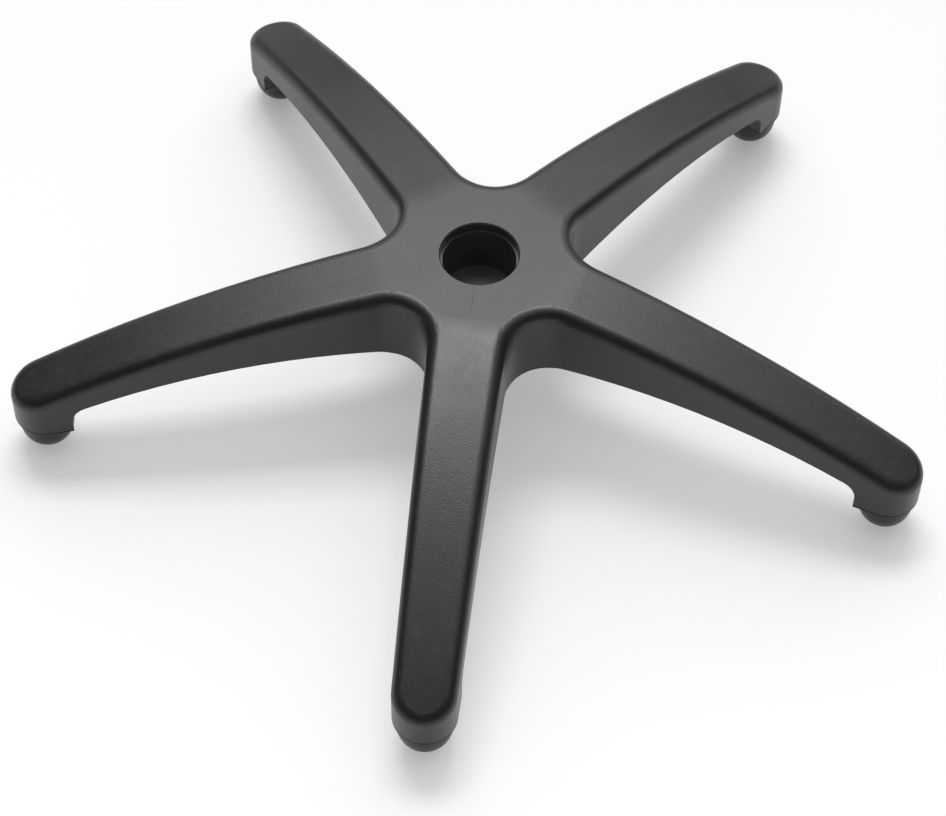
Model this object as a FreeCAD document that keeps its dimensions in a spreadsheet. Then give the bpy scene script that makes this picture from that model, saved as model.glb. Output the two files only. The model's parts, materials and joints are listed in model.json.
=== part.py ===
import FreeCAD, Part
import math
import os
import Sketcher

# Five-star swivel chair base: one ribbed moulding with a tapered column socket, standing on domed glides
doc = FreeCAD.newDocument("five_star_base")
sizes = doc.addObject("Spreadsheet::Sheet", "Sizes")

dimensions = {
    # Star as a whole, in millimetres and degrees as all the rest
    "leg_count": 5,
    "glide_circle_radius": 301,
    "hub_height": 124,
    "blank_margin": 20,
    # Plan of a leg
    "leg_end_radius": 21.2,
    "leg_taper": 1.2,
    "valley_radius": 29,
    # Top of hub and leg in side view
    "hub_flat": 56,
    "shoulder_radius": 130,
    "leg_top_radius": 890,
    "leg_end_height": 54,
    "edge_fillet": 8.5,
    # Underside of hub and leg in side view
    "hub_underside": 67,
    "hub_underside_radius": 66,
    "arch_radius": 460,
    "arch_end_height": 50,
    "boss_inner_radius": 17,
    "boss_fillet": 13,
    "boss_underside": 27.5,
    # Walls and ribs of the moulding
    "wall": 4,
    "roof": 4,
    "rib": 3,
    "rib_recess": 3,
    "truss_count": 3,
    "truss_pitch": 62,
    "truss_start": 108,
    "truss_angle": 54,
    # Column socket in the hub
    "rim_chamfer": 0.8,
    "relief_radius": 26.5,
    "relief_depth": 7,
    "seat_radius": 25,
    "seat_half_angle": 1.4377,
    "seat_depth": 41,
    "socket_floor": 5,
    "socket_wall": 7,
    "drain_radius": 4,
    # Stem sockets in the leg ends
    "stem_socket_depth": 22,
    "stem_socket_wall": 4.4,
    # Glide stem
    "stem_radius": 5.5,
    "stem_clearance": 0.1,
    "stem_length": 20,
    "stem_chamfer": 1.2,
    "root_length": 10,
    # Glide dome
    "dome_radius": 18.5,
    "dome_flat_radius": 4,
    "root_clearance": 0.05,
}
for row, (name, value) in enumerate(dimensions.items(), start=1):
    sizes.set(f"A{row}", name)
    sizes.set(f"B{row}", str(value))
    sizes.setAlias(f"B{row}", name)
doc.recompute()

ORIGIN = (-1, 1)
UP = FreeCAD.Vector(0, 0, 1)


def val(rule):
    """Value of a rule written with the sheet's names."""
    return float(sizes.evalExpression(rule))


def origin_item(body, role):
    """Find one plane or axis of a body's own origin."""
    return next(item for item in body.Origin.OriginFeatures if item.Role == role)


def new_sketch(body, role, name, base=(0, 0, 0), axis=(0, 0, 1), turn=0):
    """Start a sketch on an origin plane of its body, moved and turned within that plane's frame."""
    sketch = body.newObject("Sketcher::SketchObject", name)
    sketch.AttachmentSupport = [(origin_item(body, role), "")]
    sketch.MapMode = "FlatFace"
    rotation = FreeCAD.Rotation(FreeCAD.Vector(*axis), turn)
    sketch.AttachmentOffset = FreeCAD.Placement(FreeCAD.Vector(*base), rotation)
    return sketch


def line(sketch, start, end):
    """Add a straight edge and return its index."""
    return sketch.addGeometry(Part.LineSegment(FreeCAD.Vector(*start), FreeCAD.Vector(*end)))


def arc(sketch, centre, radius, first, last):
    """Add an arc, counted anticlockwise in degrees, and return its index."""
    circle = Part.Circle(FreeCAD.Vector(*centre), UP, radius)
    return sketch.addGeometry(Part.ArcOfCircle(circle, math.radians(first), math.radians(last)))


def polar(centre, radius, angle):
    """Point at a distance and an angle in degrees from a centre."""
    turn = math.radians(angle)
    return (centre[0] + radius * math.cos(turn), centre[1] + radius * math.sin(turn))


def angle_of(centre, point):
    """Angle in degrees at which a point is seen from a centre."""
    return math.degrees(math.atan2(point[1] - centre[1], point[0] - centre[0]))


def join(sketch, *ends):
    """Make pairs of edge ends coincident."""
    for first, second in ends:
        sketch.addConstraint(Sketcher.Constraint("Coincident", *first, *second))


def smooth(sketch, *ends):
    """Make pairs of edge ends meet without a corner."""
    for first, second in ends:
        sketch.addConstraint(Sketcher.Constraint("Tangent", *first, *second))


def level(sketch, *edges):
    """Keep edges horizontal."""
    for edge in edges:
        sketch.addConstraint(Sketcher.Constraint("Horizontal", edge))


def upright(sketch, *edges):
    """Keep edges vertical."""
    for edge in edges:
        sketch.addConstraint(Sketcher.Constraint("Vertical", edge))


def on_axis(sketch, *points):
    """Keep points on the upright axis of the sketch."""
    for point in points:
        sketch.addConstraint(Sketcher.Constraint("Vertical", *ORIGIN, *point))


def bound(sketch, kind, refs, name, rule):
    """Add a dimension that follows a rule written with the sheet's names."""
    value = math.radians(val(rule)) if kind == "Angle" else val(rule)
    place = sketch.addConstraint(Sketcher.Constraint(kind, *refs, value))
    sketch.renameConstraint(place, name)
    sketch.setExpression(f"Constraints.{name}", rule)


def close(sketch, edges):
    """Join a chain of edges that run on from one another into a closed outline."""
    for i, edge in enumerate(edges):
        join(sketch, ((edge, 2), (edges[i - len(edges) + 1], 1)))


def rectangle(sketch, left, right, low, high):
    """Closed rectangle between four rules, each a distance from the sketch origin."""
    x0, x1, y0, y1 = [val(rule) for rule in (left, right, low, high)]
    bottom = line(sketch, (x0, y0), (x1, y0))
    side = line(sketch, (x1, y0), (x1, y1))
    top = line(sketch, (x1, y1), (x0, y1))
    back = line(sketch, (x0, y1), (x0, y0))
    close(sketch, [bottom, side, top, back])
    level(sketch, bottom, top)
    upright(sketch, side, back)
    bound(sketch, "DistanceX", (*ORIGIN, bottom, 1), "left", left)
    bound(sketch, "DistanceX", (*ORIGIN, bottom, 2), "right", right)
    bound(sketch, "DistanceY", (*ORIGIN, bottom, 1), "low", low)
    bound(sketch, "DistanceY", (*ORIGIN, top, 1), "high", high)


def disc(sketch, along, radius):
    """Circle on the vertical sketch axis, its place and radius given by rules."""
    centre = FreeCAD.Vector(0, val(along), 0)
    edge = sketch.addGeometry(Part.Circle(centre, UP, val(radius)))
    on_axis(sketch, (edge, 3))
    bound(sketch, "DistanceY", (*ORIGIN, edge, 3), "along", along)
    bound(sketch, "Radius", (edge,), "radius", radius)


def outline(sketch, corners):
    """Closed outline through corners given as pairs of rules, radius and height."""
    places = [(val(radius), val(height)) for radius, height in corners]
    edges = [line(sketch, place, places[i - len(places) + 1]) for i, place in enumerate(places)]
    close(sketch, edges)
    for i, (radius, height) in enumerate(corners):
        bound(sketch, "DistanceX", (*ORIGIN, edges[i], 1), f"radius_{i}", radius)
        bound(sketch, "DistanceY", (*ORIGIN, edges[i], 1), f"height_{i}", height)


def pad_up(body, sketch, name, rule):
    """Raise a sketch by a rule."""
    pad = body.newObject("PartDesign::Pad", name)
    pad.Profile = sketch
    pad.setExpression("Length", rule)
    body.Tip = pad
    doc.recompute()
    return pad


def cut_across(body, sketch, name):
    """Cut a side view away right across the body."""
    cut = body.newObject("PartDesign::Pocket", name)
    cut.Profile = sketch
    cut.Midplane = True
    cut.setExpression("Length", "4 * Sizes.glide_circle_radius")
    body.Tip = cut
    doc.recompute()
    return cut


def turned(body, kind, sketch, name):
    """Turn an outline about the vertical axis, as material or as a cut."""
    feature = body.newObject(kind, name)
    feature.Profile = sketch
    feature.ReferenceAxis = (sketch, ["V_Axis"])
    feature.Angle = 360
    body.Tip = feature
    doc.recompute()
    return feature


HALF = "180 / Sizes.leg_count"
OUTSIDE = "Sizes.glide_circle_radius + Sizes.leg_end_radius + Sizes.blank_margin"
LID = "Sizes.hub_height + Sizes.blank_margin"
TIP = "Sizes.glide_circle_radius + Sizes.leg_end_radius"
BOSS = "Sizes.glide_circle_radius - Sizes.boss_inner_radius"


def sector_plan(body, inset):
    """Plan of half a leg along -Y with half a valley: leg axis, round end, straight wall, hollow valley."""
    sketch = new_sketch(body, "XY_Plane", f"{body.Name}Plan")
    taper = val("Sizes.leg_taper")
    half = val(HALF)
    reach = val("Sizes.glide_circle_radius")
    end = val(f"Sizes.leg_end_radius - {inset}")
    valley = val(f"Sizes.valley_radius + {inset}")
    offset = end + reach * math.sin(math.radians(taper))
    valley_reach = (offset + valley) / math.sin(math.radians(half + taper))
    hub = (0, 0)
    glide = (0, -reach)
    valley_centre = polar(hub, valley_reach, half - 90)
    valley_point = polar(hub, valley_reach - valley, half - 90)
    axis = line(sketch, hub, (0, -reach - end))
    tip = arc(sketch, glide, end, 270, 360 - taper)
    side = line(sketch, polar(glide, end, -taper), polar(valley_centre, valley, 180 - taper))
    hollow = arc(sketch, valley_centre, valley, 90 + half, 180 - taper)
    bisector = line(sketch, valley_point, hub)
    join(sketch, ((axis, 1), ORIGIN), ((axis, 2), (tip, 1)), ((hollow, 1), (bisector, 1)))
    join(sketch, ((bisector, 2), ORIGIN))
    smooth(sketch, ((tip, 2), (side, 1)), ((side, 2), (hollow, 2)))
    on_axis(sketch, (axis, 2), (tip, 3))
    sketch.addConstraint(Sketcher.Constraint("PointOnObject", hollow, 3, bisector))
    bound(sketch, "DistanceY", (tip, 3, *ORIGIN), "reach", "Sizes.glide_circle_radius")
    bound(sketch, "Radius", (tip,), "end", f"Sizes.leg_end_radius - {inset}")
    bound(sketch, "Radius", (hollow,), "valley", f"Sizes.valley_radius + {inset}")
    bound(sketch, "Angle", (axis, 1, bisector, 2), "half_sector", HALF)
    bound(sketch, "Angle", (side, 1, axis, 2), "taper", "Sizes.leg_taper")
    return sketch


def leg_arc():
    """Centre and radius of the arc along the leg's top, and the centre of the hub's shoulder arc."""
    end_point = (val(TIP), val("Sizes.leg_end_height"))
    shoulder_radius = val("Sizes.shoulder_radius")
    radius = val("Sizes.leg_top_radius")
    shoulder_centre = (val("Sizes.hub_flat"), val("Sizes.hub_height") - shoulder_radius)
    gap = math.dist(end_point, shoulder_centre)
    near = radius - shoulder_radius
    opening = math.degrees(math.acos((radius**2 + gap**2 - near**2) / (2 * radius * gap)))
    return polar(end_point, radius, angle_of(end_point, shoulder_centre) + opening), radius, shoulder_centre


def arch_arc():
    """Centre and radius of the arch under the leg, with its two ends."""
    radius = val("Sizes.arch_radius")
    start = (val("Sizes.hub_underside_radius"), val("Sizes.hub_underside"))
    end = (val(f"{BOSS} - Sizes.boss_fillet"), val("Sizes.arch_end_height"))
    middle = ((start[0] + end[0]) / 2, (start[1] + end[1]) / 2)
    sink = math.sqrt(radius**2 - (math.dist(start, end) / 2) ** 2)
    return polar(middle, sink, angle_of(start, end) - 90), radius, start, end


def height_on(centre, radius, reach):
    """Height of an arc above the floor at a distance from the hub axis."""
    return centre[1] + math.sqrt(radius**2 - (reach - centre[0]) ** 2)


def top_profile(body):
    """Side view of the space above: flat hub, round shoulder, arched leg that runs out over the leg end."""
    turn = -90 - val("Sizes.leg_taper")
    sketch = new_sketch(body, "XZ_Plane", f"{body.Name}TopProfile", axis=(0, 1, 0), turn=turn)
    leg_centre, leg_radius, shoulder_centre = leg_arc()
    hub = (val("Sizes.hub_flat"), val("Sizes.hub_height"))
    end_point = (val(TIP), val("Sizes.leg_end_height"))
    start = angle_of(leg_centre, shoulder_centre)
    lid_height = val(LID)
    flat = line(sketch, (0, hub[1]), hub)
    shoulder = arc(sketch, shoulder_centre, val("Sizes.shoulder_radius"), start, 90)
    leg = arc(sketch, leg_centre, leg_radius, angle_of(leg_centre, end_point), start)
    side = line(sketch, end_point, (end_point[0], lid_height))
    lid = line(sketch, (end_point[0], lid_height), (0, lid_height))
    spine = line(sketch, (0, lid_height), (0, hub[1]))
    smooth(sketch, ((flat, 2), (shoulder, 2)), ((shoulder, 1), (leg, 2)))
    join(sketch, ((leg, 1), (side, 1)), ((side, 2), (lid, 1)))
    join(sketch, ((lid, 2), (spine, 1)), ((spine, 2), (flat, 1)))
    level(sketch, flat, lid)
    upright(sketch, side)
    on_axis(sketch, (spine, 1), (spine, 2))
    bound(sketch, "DistanceX", (*ORIGIN, flat, 2), "hub_flat", "Sizes.hub_flat")
    bound(sketch, "DistanceY", (*ORIGIN, flat, 2), "hub_height", "Sizes.hub_height")
    bound(sketch, "Radius", (shoulder,), "shoulder", "Sizes.shoulder_radius")
    bound(sketch, "Radius", (leg,), "leg", "Sizes.leg_top_radius")
    bound(sketch, "DistanceX", (*ORIGIN, side, 1), "reach", TIP)
    bound(sketch, "DistanceY", (*ORIGIN, side, 1), "leg_end", "Sizes.leg_end_height")
    bound(sketch, "DistanceY", (*ORIGIN, lid, 1), "lid", LID)
    return sketch


def roof_profile(body):
    """Side view of the space above the cells: flat under the hub, then two straight runs along the leg."""
    sketch = new_sketch(body, "XZ_Plane", f"{body.Name}RoofProfile", axis=(0, 1, 0), turn=-90)
    centre, radius, shoulder_centre = leg_arc()
    middle = f"(Sizes.hub_flat + {TIP}) / 2"
    middle_height = f"{height_on(centre, radius, val(middle))} - Sizes.roof"
    hub_height = "Sizes.hub_height - Sizes.roof"
    corners = [("0", hub_height), ("Sizes.hub_flat", hub_height), (middle, middle_height)]
    corners += [(TIP, "Sizes.leg_end_height - Sizes.roof"), (TIP, LID), ("0", LID)]
    outline(sketch, corners)
    return sketch


def bottom_profile(body):
    """Side view of the space below: flat hub, arched leg edge, hollow corner, upright boss."""
    sketch = new_sketch(body, "XZ_Plane", f"{body.Name}BottomProfile", axis=(0, 1, 0), turn=-90)
    centre, arch_radius, hub, arch_end = arch_arc()
    boss = val(BOSS)
    corner = val("Sizes.boss_fillet")
    start = angle_of(centre, arch_end)
    corner_centre = (boss - corner, arch_end[1] - corner * math.sin(math.radians(start)))
    seat = val("Sizes.boss_underside")
    outside = val(OUTSIDE)
    floor = val("-Sizes.blank_margin")
    flat = line(sketch, (0, hub[1]), hub)
    arch = arc(sketch, centre, arch_radius, start, angle_of(centre, hub))
    hollow = arc(sketch, corner_centre, corner, 0, start)
    side = line(sketch, (boss, corner_centre[1]), (boss, seat))
    ring = line(sketch, (boss, seat), (outside, seat))
    drop = line(sketch, (outside, seat), (outside, floor))
    base = line(sketch, (outside, floor), (0, floor))
    spine = line(sketch, (0, floor), (0, hub[1]))
    smooth(sketch, ((arch, 1), (hollow, 2)), ((hollow, 1), (side, 1)))
    join(sketch, ((flat, 2), (arch, 2)), ((side, 2), (ring, 1)), ((ring, 2), (drop, 1)))
    join(sketch, ((drop, 2), (base, 1)), ((base, 2), (spine, 1)), ((spine, 2), (flat, 1)))
    level(sketch, flat, ring, base)
    upright(sketch, side, drop)
    on_axis(sketch, (spine, 1), (spine, 2))
    bound(sketch, "DistanceX", (*ORIGIN, flat, 2), "hub_radius", "Sizes.hub_underside_radius")
    bound(sketch, "DistanceY", (*ORIGIN, flat, 2), "hub", "Sizes.hub_underside")
    bound(sketch, "Radius", (arch,), "arch", "Sizes.arch_radius")
    bound(sketch, "DistanceY", (*ORIGIN, arch, 1), "arch_end", "Sizes.arch_end_height")
    bound(sketch, "Radius", (hollow,), "corner", "Sizes.boss_fillet")
    bound(sketch, "DistanceX", (*ORIGIN, side, 2), "boss", BOSS)
    bound(sketch, "DistanceY", (*ORIGIN, side, 2), "seat", "Sizes.boss_underside")
    bound(sketch, "DistanceX", (*ORIGIN, drop, 1), "outside", OUTSIDE)
    bound(sketch, "DistanceY", (base, 1, *ORIGIN), "floor", "Sizes.blank_margin")
    return sketch


def rib_profile(body):
    """Side view of the space below the ribs: straight runs that stay inside the arched edge of the walls."""
    sketch = new_sketch(body, "XZ_Plane", f"{body.Name}RibProfile", axis=(0, 1, 0), turn=-90)
    centre, radius, hub, arch_end = arch_arc()
    middle = f"(Sizes.hub_underside_radius + {BOSS}) / 2"
    bulge = radius - math.sqrt(radius**2 - ((arch_end[0] - hub[0]) / 4) ** 2)
    middle_height = f"{height_on(centre, radius, val(middle)) + bulge} + Sizes.rib_recess"
    hub_height = f"Sizes.hub_underside + {bulge} + Sizes.rib_recess"
    end_height = f"Sizes.arch_end_height + {bulge} + Sizes.rib_recess"
    boss_height = "Sizes.boss_underside + Sizes.rib_recess"
    inside = f"{BOSS} + Sizes.wall / 2"
    corners = [("0", hub_height), ("Sizes.hub_underside_radius", hub_height), (middle, middle_height)]
    corners += [(inside, end_height), (inside, boss_height), (OUTSIDE, boss_height)]
    corners += [(OUTSIDE, "-Sizes.blank_margin"), ("0", "-Sizes.blank_margin")]
    outline(sketch, corners)
    return sketch


def round_top_edges(body, rule):
    """Round the edges in which the top meets the outer walls."""
    base = body.Tip
    near = max(vertex.Tolerance for vertex in base.Shape.Vertexes)
    tall = []
    cut_edges = []
    for face in base.Shape.Faces:
        heights = [vertex.Z for vertex in face.Vertexes]
        nearest = min(math.hypot(vertex.X, vertex.Y) for vertex in face.Vertexes)
        if min(heights) < near and max(heights) > near:
            if nearest < near:
                cut_edges += face.Edges
            else:
                tall.append(face)
    names = []
    for index, edge in enumerate(base.Shape.Edges, start=1):
        walls = [face for face in tall if any(edge.isSame(other) for other in face.Edges)]
        on_cut = any(edge.isSame(other) for other in cut_edges)
        if len(walls) == 1 and not on_cut and min(vertex.Z for vertex in edge.Vertexes) > near:
            names.append(f"Edge{index}")
    fillet = body.newObject("PartDesign::Fillet", f"{body.Name}TopEdges")
    fillet.Base = (base, names)
    fillet.setExpression("Radius", rule)
    body.Tip = fillet
    doc.recompute()


# Outside of half a leg and half a valley
outer = doc.addObject("PartDesign::Body", "Outer")
pad_up(outer, sector_plan(outer, "0"), "OuterBlank", LID)
cut_across(outer, top_profile(outer), "OuterTop")
round_top_edges(outer, "Sizes.edge_fillet")
cut_across(outer, bottom_profile(outer), "OuterBottom")

# Space inside its walls, open below
hollow = doc.addObject("PartDesign::Body", "Hollow")
pad_up(hollow, sector_plan(hollow, "Sizes.wall"), "HollowBlank", LID)
cut_across(hollow, roof_profile(hollow), "HollowRoof")

# Ribs that stand in that space: a spine along the leg, crossed diagonals, a web into the valley
ribs = doc.addObject("PartDesign::Body", "Ribs")
spine_plan = new_sketch(ribs, "XY_Plane", "SpinePlan")
rectangle(spine_plan, "-Sizes.rib / 2", "Sizes.rib / 2", "-Sizes.glide_circle_radius", "0")
pad_up(ribs, spine_plan, "Spine", LID)
web_plan = new_sketch(ribs, "XY_Plane", "WebPlan", turn=val(HALF))
rectangle(web_plan, "-Sizes.rib / 2", "Sizes.rib / 2", "-Sizes.glide_circle_radius / 2", "0")
pad_up(ribs, web_plan, "Web", LID)
truss_base = (0, -val("Sizes.truss_start"), 0)
truss_plan = new_sketch(ribs, "XY_Plane", "TrussPlan", base=truss_base, turn=val("Sizes.truss_angle"))
truss_reach = "3 * Sizes.leg_end_radius"
rectangle(truss_plan, f"-{truss_reach}", truss_reach, "-Sizes.rib / 2", "Sizes.rib / 2")
truss = pad_up(ribs, truss_plan, "Truss", LID)
trusses = ribs.newObject("PartDesign::MultiTransform", "Trusses")
trusses.Originals = [truss]
along = ribs.newObject("PartDesign::LinearPattern", "TrussesAlong")
along.Direction = (origin_item(ribs, "Y_Axis"), [""])
along.Reversed = True
along.setExpression("Length", "Sizes.truss_pitch * (Sizes.truss_count - 1)")
along.setExpression("Occurrences", "Sizes.truss_count")
across = ribs.newObject("PartDesign::Mirrored", "TrussesAcross")
across.MirrorPlane = (origin_item(ribs, "YZ_Plane"), [""])
trusses.Transformations = [along, across]
ribs.Tip = trusses
doc.recompute()
cut_across(ribs, rib_profile(ribs), "RibBottoms")

# Wall that closes the boss towards the hub, socket tube of the glide stem, core of the column socket
boss_plan = new_sketch(ribs, "XY_Plane", "BossWallPlan", base=(0, 0, val("Sizes.boss_underside")))
boss_side = "Sizes.boss_inner_radius - Sizes.glide_circle_radius"
rectangle(boss_plan, f"-{truss_reach}", truss_reach, f"{boss_side} - Sizes.wall", boss_side)
pad_up(ribs, boss_plan, "BossWall", LID)
tube_plan = new_sketch(ribs, "XY_Plane", "StemTubePlan", base=(0, 0, val("Sizes.boss_underside")))
disc(tube_plan, "-Sizes.glide_circle_radius", "Sizes.stem_radius + Sizes.stem_socket_wall")
pad_up(ribs, tube_plan, "StemTube", LID)
core_foot = "Sizes.hub_height - Sizes.seat_depth - Sizes.socket_floor"
core_plan = new_sketch(ribs, "XY_Plane", "CorePlan", base=(0, 0, val(core_foot)))
disc(core_plan, "0", "Sizes.relief_radius + Sizes.socket_wall")
pad_up(ribs, core_plan, "Core", LID)

# Half a leg: outside less the cells between walls and ribs
cells = doc.addObject("Part::Cut", "Cells")
cells.Base = hollow
cells.Tool = ribs
sector = doc.addObject("Part::Cut", "Sector")
sector.Base = outer
sector.Tool = cells
doc.recompute()

# Whole moulding: the half leg mirrored and repeated round the hub
star_base = doc.addObject("PartDesign::Body", "star_base")
star_base.BaseFeature = sector
doc.recompute()
leg = star_base.newObject("PartDesign::Mirrored", "Leg")
leg.TransformMode = "Whole shape"
leg.MirrorPlane = (origin_item(star_base, "YZ_Plane"), [""])
star_base.Tip = leg
doc.recompute()


def round_the_star(body, feature, name):
    """Repeat a feature, or the whole shape where none is given, once for each leg."""
    legs = body.newObject("PartDesign::PolarPattern", name)
    if feature is None:
        legs.TransformMode = "Whole shape"
    else:
        legs.Originals = [feature]
    legs.Axis = (origin_item(body, "Z_Axis"), [""])
    legs.Angle = 360
    legs.setExpression("Occurrences", "Sizes.leg_count")
    body.Tip = legs
    doc.recompute()


round_the_star(star_base, None, "Legs")

# Column socket: chamfered rim, counterbore, tapered seat, closed floor with a drain hole
socket_outline = new_sketch(star_base, "XZ_Plane", "ColumnSocketOutline")
seat_top = "Sizes.hub_height - Sizes.relief_depth"
seat_foot = "Sizes.hub_height - Sizes.seat_depth"
seat_foot_radius = "Sizes.seat_radius - (Sizes.seat_depth - Sizes.relief_depth) * tan(Sizes.seat_half_angle)"
rim_radius = "Sizes.relief_radius + Sizes.rim_chamfer + Sizes.blank_margin"
below = "-Sizes.blank_margin"
outline(
    socket_outline,
    [
        ("0", LID),
        (rim_radius, LID),
        ("Sizes.relief_radius", "Sizes.hub_height - Sizes.rim_chamfer"),
        ("Sizes.relief_radius", seat_top),
        ("Sizes.seat_radius", seat_top),
        (seat_foot_radius, seat_foot),
        ("Sizes.drain_radius", seat_foot),
        ("Sizes.drain_radius", below),
        ("0", below),
    ],
)
turned(star_base, "PartDesign::Groove", socket_outline, "ColumnSocket")

# Blind sockets for the glide stems
stem_hole_plan = new_sketch(star_base, "XY_Plane", "StemSocketPlan", base=(0, 0, val("Sizes.boss_underside")))
disc(stem_hole_plan, "-Sizes.glide_circle_radius", "Sizes.stem_radius + Sizes.stem_clearance")
stem_hole = star_base.newObject("PartDesign::Pocket", "StemSocket")
stem_hole.Profile = stem_hole_plan
stem_hole.Reversed = True
stem_hole.setExpression("Length", "Sizes.stem_socket_depth")
star_base.Tip = stem_hole
doc.recompute()
round_the_star(star_base, stem_hole, "StemSockets")

# Glides: a round-ended plug with a small flat foot against each boss, bored for the stem's root
glides = doc.addObject("PartDesign::Body", "glides")
glide_base = (0, 0, val("Sizes.glide_circle_radius"))
dome_outline = new_sketch(glides, "XZ_Plane", "DomeOutline", base=glide_base)
dome_radius = val("Sizes.dome_radius")
foot = val("Sizes.dome_flat_radius")
dome_centre = (0, math.sqrt(dome_radius**2 - foot**2))
top_height = val("Sizes.boss_underside")
hole_rule = "Sizes.stem_radius + Sizes.root_clearance"
hole_end_rule = "Sizes.boss_underside - Sizes.root_length - Sizes.root_clearance"
hole = val(hole_rule)
hole_end = val(hole_end_rule)
sole = line(dome_outline, (0, 0), (foot, 0))
dome = arc(dome_outline, dome_centre, dome_radius, angle_of(dome_centre, (foot, 0)), 0)
rim = line(dome_outline, (dome_radius, dome_centre[1]), (dome_radius, top_height))
seat = line(dome_outline, (dome_radius, top_height), (hole, top_height))
bore = line(dome_outline, (hole, top_height), (hole, hole_end))
bore_end = line(dome_outline, (hole, hole_end), (0, hole_end))
axis = line(dome_outline, (0, hole_end), (0, 0))
join(dome_outline, ((axis, 2), ORIGIN), ((sole, 1), ORIGIN), ((sole, 2), (dome, 1)), ((rim, 2), (seat, 1)))
join(dome_outline, ((seat, 2), (bore, 1)), ((bore, 2), (bore_end, 1)), ((bore_end, 2), (axis, 1)))
smooth(dome_outline, ((dome, 2), (rim, 1)))
level(dome_outline, sole, seat, bore_end)
upright(dome_outline, bore)
on_axis(dome_outline, (dome, 3), (axis, 1))
bound(dome_outline, "DistanceX", (*ORIGIN, sole, 2), "foot", "Sizes.dome_flat_radius")
bound(dome_outline, "Radius", (dome,), "dome", "Sizes.dome_radius")
bound(dome_outline, "DistanceY", (*ORIGIN, seat, 1), "top", "Sizes.boss_underside")
bound(dome_outline, "DistanceX", (*ORIGIN, bore, 1), "hole", hole_rule)
bound(dome_outline, "DistanceY", (*ORIGIN, bore, 2), "hole_end", hole_end_rule)
one_glide = turned(glides, "PartDesign::Revolution", dome_outline, "Dome")
round_the_star(glides, one_glide, "Domes")

# Glide stems: a plain pin, its root in the dome and its shaft in the leg end's socket
glide_stems = doc.addObject("PartDesign::Body", "glide_stems")
stem_outline = new_sketch(glide_stems, "XZ_Plane", "StemOutline", base=glide_base)
stem_root = "Sizes.boss_underside - Sizes.root_length"
stem_tip = "Sizes.boss_underside + Sizes.stem_length"
outline(
    stem_outline,
    [
        ("0", stem_root),
        ("Sizes.stem_radius", stem_root),
        ("Sizes.stem_radius", f"{stem_tip} - Sizes.stem_chamfer"),
        ("Sizes.stem_radius - Sizes.stem_chamfer", stem_tip),
        ("0", stem_tip),
    ],
)
one_stem = turned(glide_stems, "PartDesign::Revolution", stem_outline, "Stem")
round_the_star(glide_stems, one_stem, "Stems")

# Every feature and piece is sound, then each piece is written to its own file
for item in doc.Objects:
    if any(word in item.State for word in ("Invalid", "Error")):
        raise RuntimeError(f"{item.Name} did not build")
os.makedirs("parts", exist_ok=True)
for piece in (star_base, glides, glide_stems):
    piece.Label = piece.Name
    piece.Placement = FreeCAD.Placement()
    if piece.Shape.isNull() or not piece.Shape.isValid():
        raise RuntimeError(f"{piece.Name} has no sound shape")
    piece.Shape.exportStep(f"parts/{piece.Name}.step")
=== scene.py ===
import json
import math
import bmesh
import bpy
from mathutils import Matrix, Vector


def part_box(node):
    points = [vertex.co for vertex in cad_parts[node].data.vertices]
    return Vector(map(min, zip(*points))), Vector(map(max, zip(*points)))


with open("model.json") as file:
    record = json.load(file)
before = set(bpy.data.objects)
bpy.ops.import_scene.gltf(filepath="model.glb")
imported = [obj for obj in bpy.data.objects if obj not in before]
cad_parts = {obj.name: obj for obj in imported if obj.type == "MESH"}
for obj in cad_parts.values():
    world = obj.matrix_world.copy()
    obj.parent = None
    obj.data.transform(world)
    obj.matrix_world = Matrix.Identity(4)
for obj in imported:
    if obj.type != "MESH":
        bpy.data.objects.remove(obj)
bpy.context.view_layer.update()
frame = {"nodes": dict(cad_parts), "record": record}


# Star base: one injection moulding of black glass-filled nylon, its outside grained by the mould.
# The core pin left the column socket smoother, and the melt met in a fine line in front of it.
def linear(code):
    """Linear colour with alpha from an sRGB hex code."""
    shares = [int(code[start : start + 2], 16) / 255 for start in (1, 3, 5)]
    return [s / 12.92 if s <= 0.04045 else ((s + 0.055) / 1.055) ** 2.4 for s in shares] + [1]


def add(tree, kind, sockets=(), output=0, **settings):
    """Add a shader node, fill its sockets in order or by name, and return one of its outputs."""
    made = tree.nodes.new(f"ShaderNode{kind}")
    for setting, value in settings.items():
        setattr(made, setting, value)
    for socket, value in sockets.items() if isinstance(sockets, dict) else enumerate(sockets):
        if isinstance(value, bpy.types.NodeSocket):
            tree.links.new(value, made.inputs[socket])
        else:
            made.inputs[socket].default_value = value
    return made.outputs[output]


mounts = {mount["name"]: mount for mount in frame["record"]["mounts"]}
rim_radius = mounts["column_counterbore"]["dims"]["r_mm"] / 1000
seat = mounts["column_taper_seat"]
socket_floor = seat["pos_m"][2] - seat["dims"]["length_mm"] / 1000
boss_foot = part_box("star_base")[0][2]

# Grained nylon scatters a broad soft sheen, and reads nearly black where it mirrors no light.
# The real grain of half a millimetre is drawn twice as coarse, so that it shows from two metres.
nylon_ior = 1.53
nylon = bpy.data.materials.new("grained black nylon")
nylon.use_nodes = True
tree = nylon.node_tree
place = add(tree, "TexCoord", output="Object")
grain_mm = 1
grain = add(tree, "TexNoise", {"Vector": place, "Scale": 1000 / grain_mm, "Detail": 2})
flow_mm = 42
flow = add(tree, "TexNoise", {"Vector": place, "Scale": 1000 / flow_mm, "Detail": 3})
fleck_mm = 7
speckle = {"Detail": 6, "Roughness": 0.7}
flecks = add(tree, "TexNoise", {"Vector": place, "Scale": 1000 / fleck_mm, **speckle})
facing = add(tree, "NewGeometry", output="Normal")
upward_facing = add(tree, "SeparateXYZ", [facing], output="Z")
lying_flat = add(tree, "MapRange", [upward_facing, 0.8, 1, 0, 1])
most_dust = 0.3
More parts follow.
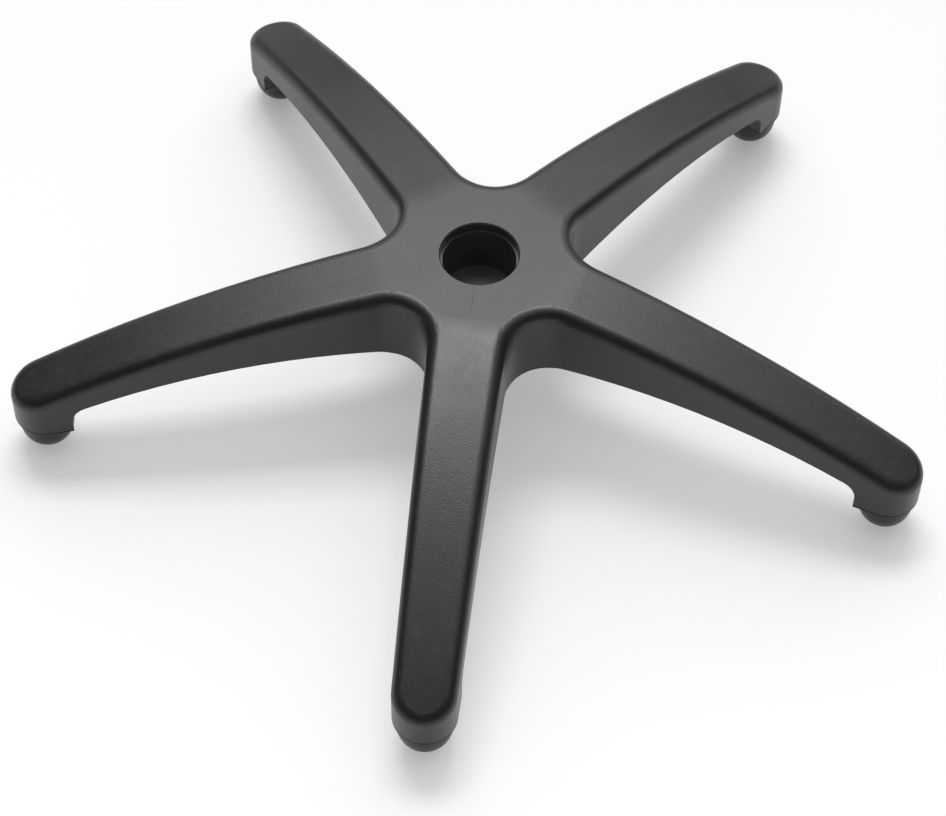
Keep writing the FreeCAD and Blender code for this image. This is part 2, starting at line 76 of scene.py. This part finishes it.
dust_cover = add(tree, "MapRange", [flecks, 0.54, 0.74, 0, most_dust])
dust = add(tree, "Math", [lying_flat, dust_cover], operation="MULTIPLY")

# The socket's mask ends on the chamfer of the rim and just below the socket's floor.
across = add(tree, "SeparateXYZ", [place], output="X")
along = add(tree, "SeparateXYZ", [place], output="Y")
height = add(tree, "SeparateXYZ", [place], output="Z")
plan = add(tree, "CombineXYZ", [across, along])
from_axis = add(tree, "VectorMath", [plan], output="Value", operation="LENGTH")
mask_start, mask_end = rim_radius - 0.0002, rim_radius + 0.0006
inside = add(tree, "MapRange", [from_axis, mask_start, mask_end, 1, 0])
skin = 0.001
above_floor = add(tree, "MapRange", [height, socket_floor - skin, socket_floor - skin / 2, 0, 1])
in_socket = add(tree, "Math", [inside, above_floor], operation="MULTIPLY")

# The weld line runs forward from just outside the rim, and fades out over its second half.
weld_length = 0.034
weld_width = 0.0009
rim_gap = 0.001
off_weld = add(tree, "Math", [across], operation="ABSOLUTE")
on_weld = add(tree, "MapRange", [off_weld, 0, weld_width / 2, 1, 0])
weld_start = -rim_radius - rim_gap
weld_middle, weld_end = weld_start - weld_length / 2, weld_start - weld_length
weld_reach = add(tree, "MapRange", [along, weld_end, weld_middle, 0, 1])
before_rim = add(tree, "Math", [along, weld_start], operation="LESS_THAN")
weld_part = add(tree, "Math", [on_weld, weld_reach], operation="MULTIPLY")
on_top = add(tree, "Math", [before_rim, lying_flat], operation="MULTIPLY")
weld = add(tree, "Math", [weld_part, on_top], operation="MULTIPLY")

# A colour mix takes its share in socket 0 and its two colours in 6 and 7, and gives output 2.
colour_mix = {"output": 2, "data_type": "RGBA"}
flow_share = add(tree, "MapRange", [flow, 0.35, 0.65, 0, 1])
body_shades = {6: linear("#1e1f20"), 7: linear("#232425")}
body_colour = add(tree, "Mix", {0: flow_share, **body_shades}, **colour_mix)
most_grain = 0.8
grain_share = add(tree, "MapRange", [grain, 0.35, 0.65, 0, most_grain])
grained_colour = add(tree, "Mix", {0: grain_share, 6: body_colour, 7: linear("#141415")}, **colour_mix)
dusty_colour = add(tree, "Mix", {0: dust, 6: grained_colour, 7: linear("#4c4d50")}, **colour_mix)
weld_tint = 0.4
weld_share = add(tree, "Math", [weld, weld_tint], operation="MULTIPLY")
welded_colour = add(tree, "Mix", {0: weld_share, 6: dusty_colour, 7: linear("#0e0f10")}, **colour_mix)
# Inside the socket the nylon is painted light grey, painted light that stands in for the light falling
# into the bore; only its smoother finish is real.
socket_painted_light_colour = add(tree, "Mix", {0: in_socket, 6: welded_colour, 7: linear("#4a4b4d")}, **colour_mix)

# A painted shade line at the foot of each boss, near black and duller, stands for the shade in the
# joint with its glide.
shade_line_height = 0.0008
shade_line_blend = 0.0005
shade_line_top = boss_foot + shade_line_height
joint_shade = add(tree, "MapRange", [height, shade_line_top, shade_line_top + shade_line_blend, 1, 0])
colour = add(tree, "Mix", {0: joint_shade, 6: socket_painted_light_colour, 7: linear("#040404")}, **colour_mix)

smoothest, roughest = 0.33, 0.39
dust_dulling, socket_dulling, shade_line_dulling = 0.3, -0.12, 0.5
flow_roughness = add(tree, "MapRange", [flow, 0.3, 0.7, smoothest, roughest])
dusty_roughness = add(tree, "Math", [dust, dust_dulling, flow_roughness], operation="MULTIPLY_ADD")
socket_roughness = add(
    tree, "Math", [in_socket, socket_dulling, dusty_roughness], operation="MULTIPLY_ADD"
)
roughness = add(
    tree, "Math", [joint_shade, shade_line_dulling, socket_roughness], operation="MULTIPLY_ADD", use_clamp=True
)
weld_dip = -0.5
grain_depth = 0.0002
surface_height = add(tree, "Math", [weld, weld_dip, grain], operation="MULTIPLY_ADD")
relief = add(tree, "Bump", {"Height": surface_height, "Strength": 0.6, "Distance": grain_depth})
surface = tree.nodes["Principled BSDF"].inputs
surface["IOR"].default_value = nylon_ior
tree.links.new(colour, surface["Base Color"])
tree.links.new(roughness, surface["Roughness"])
tree.links.new(relief, surface["Normal"])
frame["nodes"]["star_base"].material_slots[0].material = nylon

# Glides: five solid domes of plain black nylon, moulded smooth and pressed onto their stems.
# The foot of each is scuffed dull and grey where it has slid on floors.
dome_nylon = bpy.data.materials.new("smooth black nylon")
dome_nylon.use_nodes = True
tree = dome_nylon.node_tree
place = add(tree, "TexCoord", output="Object")
height = add(tree, "SeparateXYZ", [place], output="Z")
scuff_height = 0.005
scratch_mm = 1.4
scratch_look = {"Detail": 5, "Roughness": 0.7}
scratches = add(tree, "TexNoise", {"Vector": place, "Scale": 1000 / scratch_mm, **scratch_look})
near_floor = add(tree, "MapRange", [height, scuff_height / 10, scuff_height, 1, 0])
scratched = add(tree, "MapRange", [scratches, 0.4, 0.7, 0, 1])
scuff = add(tree, "Math", [near_floor, scratched], operation="MULTIPLY")
colour = add(tree, "Mix", {0: scuff, 6: linear("#1c1d1f"), 7: linear("#565657")}, **colour_mix)
moulded_roughness, scuffed_roughness = 0.36, 0.7
roughness = add(tree, "MapRange", [scuff, 0, 1, moulded_roughness, scuffed_roughness])
scratch_depth = 0.00005
relief = add(tree, "Bump", {"Height": scratches, "Strength": 0.15, "Distance": scratch_depth})
surface = tree.nodes["Principled BSDF"].inputs
surface["IOR"].default_value = nylon_ior
tree.links.new(colour, surface["Base Color"])
tree.links.new(roughness, surface["Roughness"])
tree.links.new(relief, surface["Normal"])
frame["nodes"]["glides"].material_slots[0].material = dome_nylon

# Glide stems: five turned steel pins, zinc plated, pressed into the leg ends.
# Fine turning rings run round them, spaced along their length.
zinc = bpy.data.materials.new("zinc plated turned steel")
zinc.use_nodes = True
tree = zinc.node_tree
place = add(tree, "TexCoord", output="Object")
ring_squeeze = (0.02, 0.02, 1)
squeezed = add(tree, "VectorMath", [place, ring_squeeze], operation="MULTIPLY")
ring_mm = 0.3
rings = add(tree, "TexNoise", {"Vector": squeezed, "Scale": 1000 / ring_mm})
colour = add(tree, "Mix", {0: rings, 6: linear("#b9bbbd"), 7: linear("#cfd0d1")}, **colour_mix)
bright_roughness, dull_roughness = 0.25, 0.4
roughness = add(tree, "MapRange", [rings, 0.3, 0.7, bright_roughness, dull_roughness])
surface = tree.nodes["Principled BSDF"].inputs
surface["Metallic"].default_value = 1
tree.links.new(colour, surface["Base Color"])
tree.links.new(roughness, surface["Roughness"])
frame["nodes"]["glide_stems"].material_slots[0].material = zinc

# Floor: a plain sheet of matt white paper, far wider than the view.
# It glows to the eye and in reflections with painted light, so it shows whiter than the lamps make it,
# most of all at the front.
half_width = 12
sheet = bmesh.new()
bmesh.ops.create_grid(sheet, x_segments=1, y_segments=1, size=half_width)
floor_mesh = bpy.data.meshes.new("floor")
sheet.to_mesh(floor_mesh)
sheet.free()
floor = bpy.data.objects.new("floor", floor_mesh)
bpy.context.scene.collection.objects.link(floor)
paper = bpy.data.materials.new("matt white paper")
paper.use_nodes = True
tree = paper.node_tree
seen = add(tree, "LightPath", output="Is Camera Ray")
mirrored = add(tree, "LightPath", output="Is Glossy Ray")
through = add(tree, "LightPath", output="Is Transmission Ray")
straight = add(tree, "Math", [seen, mirrored], operation="MAXIMUM")
looked_at = add(tree, "Math", [straight, through], operation="MAXIMUM")
place = add(tree, "TexCoord", output="Object")
along = add(tree, "SeparateXYZ", [place], output="Y")
front_end, back_end = -0.5, 0.5
front_glow, back_glow = 0.43, 0.25
painted_glow_strength = add(tree, "MapRange", [along, front_end, back_end, front_glow, back_glow])
glow = add(tree, "Math", [looked_at, painted_glow_strength], operation="MULTIPLY")
surface = tree.nodes["Principled BSDF"].inputs
surface["Base Color"].default_value = linear("#d4d4d4")
surface["Roughness"].default_value = 0.9
surface["Specular IOR Level"].default_value = 0.1
surface["Emission Color"].default_value = linear("#ffffff")
tree.links.new(glow, surface["Emission Strength"])
floor_mesh.materials.append(paper)


# Light: a soft key panel high behind the star, wide weak ones lower behind it and overhead, and
# dim surroundings, so that tops catch a sheen while rounded edges mirror the dark side of the room.
def panel(name, centre, width, depth, radiance):
    """Rectangular soft light that faces the hub from a place in metres."""
    data = bpy.data.lights.new(name, "AREA")
    data.shape = "RECTANGLE"
    data.size = width
    data.size_y = depth
    data.energy = radiance * math.pi * width * depth
    light = bpy.data.objects.new(name, data)
    light.location = centre
    toward_hub = Vector((0, 0, hub_top)) - Vector(centre)
    light.rotation_euler = toward_hub.to_track_quat("-Z", "Y").to_euler()
    bpy.context.scene.collection.objects.link(light)


hub_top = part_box("star_base")[1][2]
panel("key panel", centre=(-0.4, 1.95, 4.5), width=2.5, depth=1.4, radiance=11)
panel("back panel", centre=(0.1, 3.5, 3.1), width=8, depth=3.2, radiance=1.5)
panel("top panel", centre=(0, 0.1, 4.8), width=7, depth=3, radiance=0.9)
studio = bpy.data.worlds.new("studio")
studio.use_nodes = True
studio.node_tree.nodes["Background"].inputs["Color"].default_value = linear("#666768")
bpy.context.scene.world = studio

# Camera: above and in front of the star, slightly to its right, as the photograph was taken.
# It was found by fitting the outline of the solids to the outline in the photograph.
turn, rise, roll = math.radians(5.86), math.radians(53.46), math.radians(0.77)
distance = 1.98272
offset_right, offset_up = -0.00332, -0.02936
back = Vector((math.sin(turn) * math.cos(rise), -math.cos(turn) * math.cos(rise), math.sin(rise)))
level = Vector((math.cos(turn), math.sin(turn), 0))
upright = back.cross(level)
right = level * math.cos(roll) + upright * math.sin(roll)
up = upright * math.cos(roll) - level * math.sin(roll)
lens = bpy.data.cameras.new("camera")
lens.sensor_width = 36
lens.lens = 107.25
camera = bpy.data.objects.new("camera", lens)
spot = back * distance + right * offset_right + up * offset_up
camera.matrix_world = Matrix.Translation(spot) @ Matrix((right, up, back)).transposed().to_4x4()
bpy.context.scene.collection.objects.link(camera)
bpy.context.scene.camera = camera
bpy.context.scene.view_settings.view_transform = "Standard"
